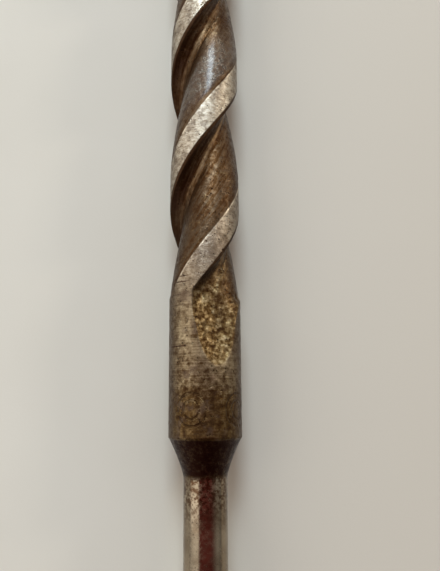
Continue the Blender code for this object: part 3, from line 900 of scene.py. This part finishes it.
def build_pilot_screw(steel):
    """Tapered lead screw with a sharp helical thread."""
    low, high = span("pilot_screw", "y")
    stem_end = low + 16.3 * MM
    pitch = 4.2 * MM
    heights = spaced([
        (low, 1.5 * MM), (stem_end - 0.6 * MM, 0.2 * MM), (high - 0.4 * MM, 0.1 * MM), (high, 1),
    ])
    taper = np.clip((heights - stem_end) / (high - stem_end), 0, 1)
    root = np.where(heights < stem_end, 2.9 * MM, (3.3 - 2.8 * taper) * MM)

    def tooth(angle, height, radius):
        phase = (height / pitch + angle / (2 * pi)) % 1
        begun = smooth_step((height - stem_end) / (3 * MM))
        grown = begun * smooth_step((high - height) / (14 * MM)) ** 0.7
        return radius + 1.45 * MM * grown * (1 - np.abs(2 * phase - 1)) ** 1.9

    outline = list(zip(heights, root))
    screw = turned("lead_screw", "y", TOOL_CENTRE, outline, steel, shape=tooth, angle=50)
    settle(screw, "tool", "pilot_screw")


def build_cutting_lip(place, steel):
    """A ground lip with a relieved edge, rounded corners and a bore for its screw."""
    side = 1 if place == "upper" else -1
    low, high = box("cutting_lip_" + place)
    back, front = low[1], high[1]
    outline = soften([
        (back, 3.8 * MM), (back, 12.2 * MM), (back + 2 * MM, 12.95 * MM), (back + 10 * MM, 12.95 * MM),
        (back + 12.2 * MM, 11.6 * MM), (front, 3.8 * MM),
    ], 1 * MM, 5)
    outer, inner = (low[0], high[0]) if side > 0 else (high[0], low[0])
    rows = [[(x, y, AXIS_Z + side * z) for y, z in outline] for x in (outer, inner)]
    lip = from_grid("lip_" + place, rows, steel)
    bevel(lip, 0.18 * MM, 2)

    relief = block((0, 0, 0), (-5, -8, -12), (5, 0, 12))
    relief.rotation_euler = (side * radians(-17), 0, side * radians(152))
    relief.location = (inner, front - 1.1 * MM, AXIS_Z + side * 7.5 * MM)
    bpy.context.view_layer.update()
    combine(lip, relief)
    combine(lip, drill("x", 0, (-4, 4), 1.4, 40, node_centre("lip_screw_" + place)))
    settle(lip, "tool", "cutting_lip_" + place, 30)


def build_lip_screw(place, steel):
    """Button-head screw with a hexagonal drive and a threaded shank."""
    node = "lip_screw_" + place
    upper = place == "upper"
    low, high = span(node, "x")
    head, drive = (high, (-1, 1)) if upper else (low, (1, -1))
    outline = [
        (0, 0.7), (0.35, 1.1), (6.35, 1.1), (6.5, 1.25), (6.5, 2.1), (6.7, 2.2), (7.4, 2.15), (7.8, 1.9),
        (8.05, 1.5), (8.1, 0.9),
    ]
    threaded = (low, low + 5 * MM) if upper else (high - 5 * MM, high)
    cut = thread("x", *threaded, 0.5, 0.16)
    outline = densify(outline, 0.1)
    screw = spun("cap_screw_" + place, node, "x", outline, steel, not upper, sides=48, shape=cut)
    combine(screw, drill("x", head, drive, 0.95, 6, node_centre(node)))
    settle(screw, "tool", node, 35)


# ---- coupling


def build_socket(steel):
    """Coupling socket: turned grooves, a knurled band, a notch for the button and two wrench flats."""
    node = "coupling_socket"
    low, high = span(node, "y")
    outline = [
        (0, 10.9), (0, 11.3), (1.2, 12.5), (15.4, 12.5), (15.7, 12), (16.5, 12), (16.8, 12.5), (29.2, 12.5),
        (29.5, 12), (30.3, 12), (30.6, 12.5), (51.5, 12.5), (51.8, 12.1), (52.5, 12.1), (52.8, 12.5),
        (61.5, 12.5), (64.5, 11.4), (66, 10),
    ]
    band = knurl(low + 17.4 * MM, low + 28.6 * MM, 66, 0.42, 0.6)
    outline = densify(soften(outline, 0.35, 3), 0.28)
    socket = spun("socket_body", node, "y", outline, steel, sides=396, shape=band, angle=40)
    length = (high - low) / MM
    flats = TAIL_FLATS / 2 / MM + 0.3
    mouth = [(-4.3, 6.8), (-0.8, 6.8), (0, 7.6), (3, 10.6)]
    back = [(-3, 10.6), (0, 7.9), (0.6, 7.3), (15, 7.3)]
    combine(socket, cutter("y", low, [(17, flats), (length + 5, flats)], 6, shape=hexagonal))
    combine(socket, cutter("y", high, mouth, 72))
    combine(socket, cutter("y", low, back, 72))

    button = (0, middle("release_button", "y"), AXIS_Z)
    notch = block(button, (-15, -8, 8), (15, 8, 15))
    bevel(notch, 0.7 * MM, 3)
    upper = block((0, low, AXIS_Z), (-15, 2, 11), (15, 14, 15))
    lower = block((0, low, AXIS_Z), (-15, 2, -15), (15, 14, -11))
    combine(socket, join(notch, upper, lower))
    hole = cutter("z", AXIS_Z, [(3, 2.14), (7.75, 2.14), (8, 2.4), (10, 2.4)], centre=button)
    cross = through_hole("x", node_centre("coupling_pin"), 12.5, PIN_HOLE)
    combine(socket, join(hole, cross))
    settle(socket, "tool", node, 38)


def build_button(steel):
    """Snap button with a flange, a ring groove, a dished top and the cup for its spring."""
    outline = [
        (5.3, 0.1), (5.3, 1.4), (5, 1.7), (0, 1.7), (0, 2.3), (0.2, 2.5), (4.1, 2.5), (4.3, 2.3), (4.3, 2),
        (6.4, 2), (6.55, 1.82), (6.8, 1.82), (6.95, 2), (7.5, 2), (8.05, 1.6), (8.38, 1), (8.3, 0.5),
        (8.22, 0.1),
    ]
    button = spun("snap_button", "release_button", "z", soften(outline, 0.25), steel, sides=64)
    settle(button, "button", "release_button")


def build_spring(steel):
    """Compression spring with closed ends."""
    node = "button_spring"
    low, high = span(node, "z")
    centre_y = middle(node, "y")
    wire = 0.24 * MM
    coil = 1.15 * MM
    turns = 7.5
    along = np.linspace(0, 1, int(turns * 28) + 1)
    closed = 1.15 / turns
    rise = np.clip((along - closed) / (1 - 2 * closed), 0, 1)
    rise = 0.11 * along + 0.89 * (rise * 0.75 + 0.25 * smooth_step(rise))
    heights = low + wire + (high - low - 2 * wire) * rise
    angle = 2 * pi * turns * along
    around = np.linspace(0, 2 * pi, 12, endpoint=False)
    reach = coil + wire * np.cos(around)[None, :]
    up = heights[:, None] + wire * np.sin(around)[None, :]
    rows = np.stack([reach * np.cos(angle)[:, None], centre_y + reach * np.sin(angle)[:, None], up], -1)
    spring = from_grid("coil_spring", rows, steel, angle=60)
    settle(spring, "tool", node)
    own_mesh(spring)


def build_pin(node, axis, length, radius, name, steel, body="tool"):
    """A peened pin; its ends are domed."""
    pin = spun(name, node, axis, domed(length, radius), steel, sides=48)
    settle(pin, body, node)


# ---- rod and hub


def build_rod(steel):
    """Extension rod with rounded depth grooves and chamfered ends."""
    outline = [(0, 6.3), (0.7, 7)]
    for mark in (35, 60, 85, 110):
        outline += [(mark - 1.15, 7), (mark - 0.8, 6.5), (mark + 0.8, 6.5), (mark + 1.15, 7)]
    outline += [(148, 7), (148.7, 6.3)]
    rod = spun("depth_rod", "extension_rod", "y", soften(outline, 0.3, 3), steel, sides=96)
    holes = [through_hole("x", node_centre(pin), 7, PIN_HOLE) for pin in ("coupling_pin", "hub_pin")]
    combine(rod, join(*holes))
    settle(rod, "tool", "extension_rod", 32)


def build_hub(steel):
    """Forged hub: the body and its cross bosses run together in fillets, and its bores are machined."""
    node = "handle_hub"
    low, high = span(node, "y")
    outline = [
        (0, 8.6), (1.2, 10.2), (4, 11.5), (9, 12.4), (15, 12.75), (36, 12.75), (41, 11.9), (45, 11.25),
        (52.6, 11.2), (54, 9.8),
    ]
    hub = spun("forged_hub", node, "y", densify(soften(outline, 2, 5), 0.6), steel, sides=120)
    half = span(node, "x")[1] / MM
    boss = [(-half, 9), (-half + 1.1, 10), (half - 1.1, 10), (half, 9)]
    combine(hub, cutter("x", 0, densify(boss, 0.6), 120, BAR_CENTRE), "UNION")
    remesh(hub, 0.42 * MM, 22)

    mouth = [(half - 0.8, BAR_HOLE), (half, 7.1), (half + 2, 9)]
    bar_bore = [(-h, r) for h, r in mouth[::-1]] + mouth
    bores = [
        cutter("y", high, [(-12.3, 7.3), (-0.7, 7.3), (0, 8), (3, 11)], 96),
        cutter("x", 0, bar_bore, 96, BAR_CENTRE),
        through_hole("x", node_centre("hub_pin"), 11.1, PIN_HOLE),
        drill("y", low, (11.5, 20), 4.1),
        cutter("y", low, [(-2, 5.8), (0, 4), (0.7, 3.3), (13, 3.3)]),
    ]
    for bore in bores:
        combine(hub, bore)
    settle(hub, "tool", node, 35)


def build_clamp(brass, steel, knob_steel):
    """Swivel pad, threaded screw and knurled knob, with the hole of the pin through them."""
    low, high = span("clamp_pad", "y")
    length = (high - low) / MM
    outline = [
        (0, 0.2), (0, 3.4), (0.4, 3.8), (1.1, 3.8), (1.25, 3.6), (1.45, 3.8), (length - 0.4, 3.8),
        (length, 3.4), (length, 2.6), (length - 0.15, 2.3), (length - 0.15, 0.2),
    ]
    pad = spun("swivel_pad", "clamp_pad", "y", soften(outline, 0.15, 3), brass, sides=64)
    settle(pad, "clamp_swivel", "clamp_pad")

    low, high = span("clamp_screw", "y")
    length = (high - low) / MM
    outline = densify([(0, 2.4), (0.5, 3), (length - 0.6, 3), (length, 2.4)], 0.12)
    cut = thread("y", low + 12.4 * MM, high - 0.8 * MM, 1.25, 0.5)
    screw = spun("clamp_spindle_screw", "clamp_screw", "y", outline, steel, sides=64, shape=cut, angle=50)
    pin_axis = node_centre("knob_pin")
    combine(screw, drill("z", 0, THROUGH, SMALL_HOLE, 40, pin_axis))
    settle(screw, "clamp_spindle", "clamp_screw", 50)

    low, high = span("clamp_knob", "y")
    outline = [
        (0, 6.6), (0, 7.4), (0.5, 8.3), (1.6, 10), (10, 10), (10.5, 9.2), (11.4, 7.2), (12.2, 6.8), (13, 6.4),
    ]
    outline = densify(soften(outline, 0.4, 3), 0.25)
    grip = knurl(low + 2 * MM, low + 9.7 * MM, 54, 0.55, 0.55)
    knob = spun("knurled_knob", "clamp_knob", "y", outline, knob_steel, sides=324, shape=grip, angle=40)
    length = (high - low) / MM
    bore = [(1.2, 3.3), (length - 0.6, 3.3), (length, 3.9), (length + 2, 6)]
    dish = [(-2, 5.4), (0, 5.2), (0.35, 4.6)]
    combine(knob, cutter("y", low, bore, 64))
    combine(knob, cutter("y", low, dish, 64))
    combine(knob, drill("z", 0, THROUGH, SMALL_HOLE, 40, pin_axis))
    settle(knob, "clamp_spindle", "clamp_knob", 40)


# ---- sliding handle


def build_bar(steel):
    """Cross bar with shouldered, threaded ends and two cross holes for the ferrule pins."""
    node = "cross_bar"
    low, high = span(node, "x")
    length = (high - low) / MM
    end = [(0, 4.3), (0.6, 5), (7.6, 5), (8, 4.7), (8, 5.6), (8.4, 6)]
    outline = end + [(length - h, r) for h, r in end[::-1]]
    left = thread("x", low + 0.4 * MM, low + 7.4 * MM, 1.5, 0.55)
    right = thread("x", high - 7.4 * MM, high - 0.4 * MM, 1.5, 0.55)

    def ends(angle, height, radius):
        return right(angle, height, left(angle, height, radius))

    bar = spun("slide_bar", node, "x", densify(outline, 0.4), steel, sides=72, angle=40, shape=ends)
    pins = ("ferrule_pin_left", "ferrule_pin_right")
    holes = [through_hole("z", node_centre(pin), 6, SMALL_HOLE) for pin in pins]
    combine(bar, join(*holes))
    settle(bar, "handle", node, 40)


def through_curve(points, step):
    """Points every step along a smooth curve through the given (height, radius) points."""
    heights = np.array([p[0] for p in points], float)
    radii = np.array([p[1] for p in points], float)
    slopes = np.gradient(radii, heights)
    result = []
    for i in range(len(points) - 1):
        gap = heights[i + 1] - heights[i]
        count = max(2, int(round(gap / step)))
        for t in np.arange(count) / count:
            a, b = (1 + 2 * t) * (1 - t) ** 2, t * (1 - t) ** 2
            c, d = t * t * (3 - 2 * t), t * t * (t - 1)
            radius = a * radii[i] + b * gap * slopes[i] + c * radii[i + 1] + d * gap * slopes[i + 1]
            result.append((heights[i] + gap * t, radius))
    return result + [tuple(points[-1])]


def build_grip(place, wood):
    """Turned wooden grip with a palm swell, two pairs of scored lines and worn ends."""
    node = "grip_" + place
    swell = [
        (0, 9.6), (1.2, 10.3), (4, 11), (10, 12), (20, 12.8), (30, 13), (44, 12.6), (60, 11.6),
        (74, 11), (85, 11.3), (92, 12), (95.5, 11.8), (97.2, 11), (98, 10.2),
    ]
    outline = []
    for height, radius in through_curve(swell, 0.35):
        score = sum(np.exp(-((height - at) / 0.38) ** 2) for at in (6, 8.4, 87.6, 90))
        outline.append((height, radius - 0.5 * score))

    def turned_by_hand(angle, height, radius):
        along = np.abs(height) / MM
        return radius - 0.06 * MM * (1 + np.sin(0.21 * along + 2 * angle) * np.cos(0.05 * along))

    grip = spun("wooden_grip_" + place, node, "x", outline, wood, place == "left", sides=120,
                bore=BAR_HOLE * MM, shape=turned_by_hand, angle=45)
    settle(grip, "handle", node)


def build_ferrules(place, brass, pin_steel):
    """Beaded ferrules at both ends of a grip, and the pin through the inner one."""
    ring = {"flip": place == "left", "sides": 120, "bore": BAR_HOLE * MM}
    node = "inner_ferrule_" + place
    outline = [
        (0, 8), (0.3, 8.4), (1, 9.2), (1.9, 9.4), (2.3, 9.05), (2.7, 9.4), (5.6, 9.4), (5.9, 9), (6.3, 9.1),
        (6.9, 10.1), (7.5, 10.4), (8.2, 10.4), (8.7, 10),
    ]
    ferrule = spun("inner_collar_" + place, node, "x", soften(outline, 0.3), brass, **ring)
    combine(ferrule, through_hole("z", node_centre("ferrule_pin_" + place), 9.4, SMALL_HOLE, 0.1))
    settle(ferrule, "handle", node, 32)
    build_pin("ferrule_pin_" + place, "z", 18.4, 1.2, "collar_pin_" + place, pin_steel, "handle")

    node = "outer_ferrule_" + place
    outline = [
        (0, 10), (0.3, 10.4), (1.1, 10.4), (1.35, 10.1), (1.7, 10.1), (1.95, 10.4), (2.6, 10.4), (3, 9.6),
        (3.5, 9.15), (4.4, 9.1), (4.9, 9.3), (5.6, 9.1), (7, 8.9), (7.4, 8.5),
    ]
    collar = spun("outer_collar_" + place, node, "x", soften(outline, 0.25), brass, **ring)
    settle(collar, "handle", node)


def build_handle_end(place, steel):
    """A washer and a domed cap nut."""
    flip = place == "left"
    node = "end_washer_" + place
    flat = soften([(0, 8.3), (0.3, 8.6), (1.1, 8.6), (1.5, 8.2)], 0.2)
    washer = spun("washer_" + place, node, "x", flat, steel, flip, sides=96, bore=THREAD_HOLE * MM)
    settle(washer, "handle", node)

    node = "end_nut_" + place
    nut = spun("cap_nut_" + place, node, "x", [(0, 7.5), (5.4, 7.5)], steel, flip, sides=6)
    chamfer = [(-0.1, 6.4), (0, 6.6), (0.6, 7.6), (4.6, 7.6), (5.4, 6.5), (5.5, 6.3)]
    dome = soften([(4.8, 5.7), (6, 5.7), (7.4, 5.3), (8.8, 4.1), (9.6, 2.5), (9.9, 0.8), (9.92, 0.1)], 0.8)
    bore = [(-1, 6.4), (0, 5.8), (0.5, THREAD_HOLE), (6.1, THREAD_HOLE)]
    combine(nut, spun("chamfer", node, "x", chamfer, None, flip, sides=96), "INTERSECT")
    combine(nut, spun("dome", node, "x", dome, None, flip, sides=96), "UNION")
    combine(nut, spun("bore", node, "x", bore, None, flip, sides=64))
    remesh(nut, 0.2 * MM, 3)
    settle(nut, "handle", node, 60)


# ---- camera, light, floor


def build_camera():
    data = bpy.data.cameras.new("camera")
    data.lens = LENS
    data.sensor_width = SENSOR
    data.clip_start = 0.01
    camera = new_object("camera", data)
    aim = Vector((CAMERA_SIDE, SHOULDER_Y + AIM_S, AXIS_Z))
    away = Vector((0, -sin(CAMERA_TILT), cos(CAMERA_TILT)))
    camera.location = aim + away * CAMERA_DISTANCE
    turn = (-away).to_track_quat("-Z", "Y").to_matrix()
    camera.rotation_euler = (turn @ Matrix.Rotation(CAMERA_ROLL, 3, "Z")).to_euler()
    bpy.context.scene.camera = camera


def area_light(name, direction, distance, size, power, colour):
    data = bpy.data.lights.new(name, "AREA")
    data.shape = "RECTANGLE"
    data.size = size[0]
    data.size_y = size[1]
    data.energy = power
    data.color = colour
    light = new_object(name, data)
    away = Vector(direction).normalized()
    target = Vector((0, SHOULDER_Y + AIM_S, 0))
    light.location = target + away * distance
    light.rotation_euler = (-away).to_track_quat("-Z", "Y").to_euler()


def build_lights():
    area_light("window", (-0.02, 0.8, 0.66), 1.6, (0.46, 0.62), 20.0, (0.72, 0.88, 1.0))
    area_light("warm_side", (0.81, 0.43, 0.39), 1.6, (0.14, 0.2), 5.0, (1.0, 0.93, 0.8))
    area_light("left_fill", (-0.9, 0.1, 0.6), 1.5, (1.1, 1.4), 5.0, (1.0, 0.965, 0.91))


def build_world():
    """A bright room on the left and towards the point; darker on the right, dark overhead and behind."""
    world = bpy.data.worlds.new("studio")
    world.use_nodes = True
    n = Nodes(world.node_tree)
    direction = n.split(n.add("TexCoord").outputs["Generated"])
    height = n.math("MAXIMUM", direction["Z"], 0.04)
    across = n.math("DIVIDE", direction["X"], height)
    along = n.math("DIVIDE", direction["Y"], height)
    overhead = n.times(n.between(across, -0.8, -0.52), n.between(across, 2.0, 0.5))
    overhead = n.times(overhead, n.between(along, 0.26, -0.06))
    light = n.between(across, 0.2, 1.4, 0.82, 0.42)
    light = n.times(light, n.between(along, -0.2, -1.4, 1.0, 0.6))
    colour = n.over((1.0, 0.965, 0.915), (overhead, (0.2, 0.012, 0.005)))
    n.fill(n.tree.nodes["Background"], color=colour, strength=light)
    bpy.context.scene.world = world


def build_floor():
    mesh = bpy.data.meshes.new("floor")
    reach = 2.5
    corners = [(-reach, -reach, 0), (reach, -reach, 0), (reach, reach, 0), (-reach, reach, 0)]
    mesh.from_pydata(corners, [], [(0, 1, 2, 3)])
    mesh.materials.append(pale_floor())
    floor = new_object("floor", mesh)
    floor.location.z = -0.2 * MM


def main():
    bpy.context.scene.view_settings.view_transform = "Standard"
    build_camera()
    build_lights()
    build_world()
    build_floor()
    build_head(aged_head_steel())

    ground = turned_steel("ground_lip_steel", GROUND, "y")
    browned = turned_steel("browned_steel", BROWNED, "y")
    satin = {axis: turned_steel("satin_steel_" + axis, SATIN, axis) for axis in "xyz"}
    blued = {axis: turned_steel("blued_steel_" + axis, BLUED, axis, 0.85, (0.5, 0.34)) for axis in "xy"}
    wire = turned_steel("spring_wire", WIRE, "z")
    brass = tarnished_brass()
    wood = oiled_wood()

    build_pilot_screw(ground)
    for place in ("upper", "lower"):
        build_cutting_lip(place, ground)
        build_lip_screw(place, blued["x"])
    build_socket(browned)
    build_button(satin["z"])
    build_spring(wire)
    build_pin("coupling_pin", "x", 23.8, 2.0, "socket_pin", satin["x"])
    build_pin("hub_pin", "x", 21.8, 2.0, "hub_cross_pin", satin["x"])
    build_rod(browned)
    build_hub(browned)
    build_clamp(brass, satin["y"], blued["y"])
    build_pin("knob_pin", "z", 19.2, 1.2, "knob_cross_pin", satin["z"], "clamp_spindle")
    build_bar(satin["x"])
    for place in ("left", "right"):
        build_grip(place, wood)
        build_ferrules(place, brass, satin["z"])
        build_handle_end(place, blued["x"])


main()
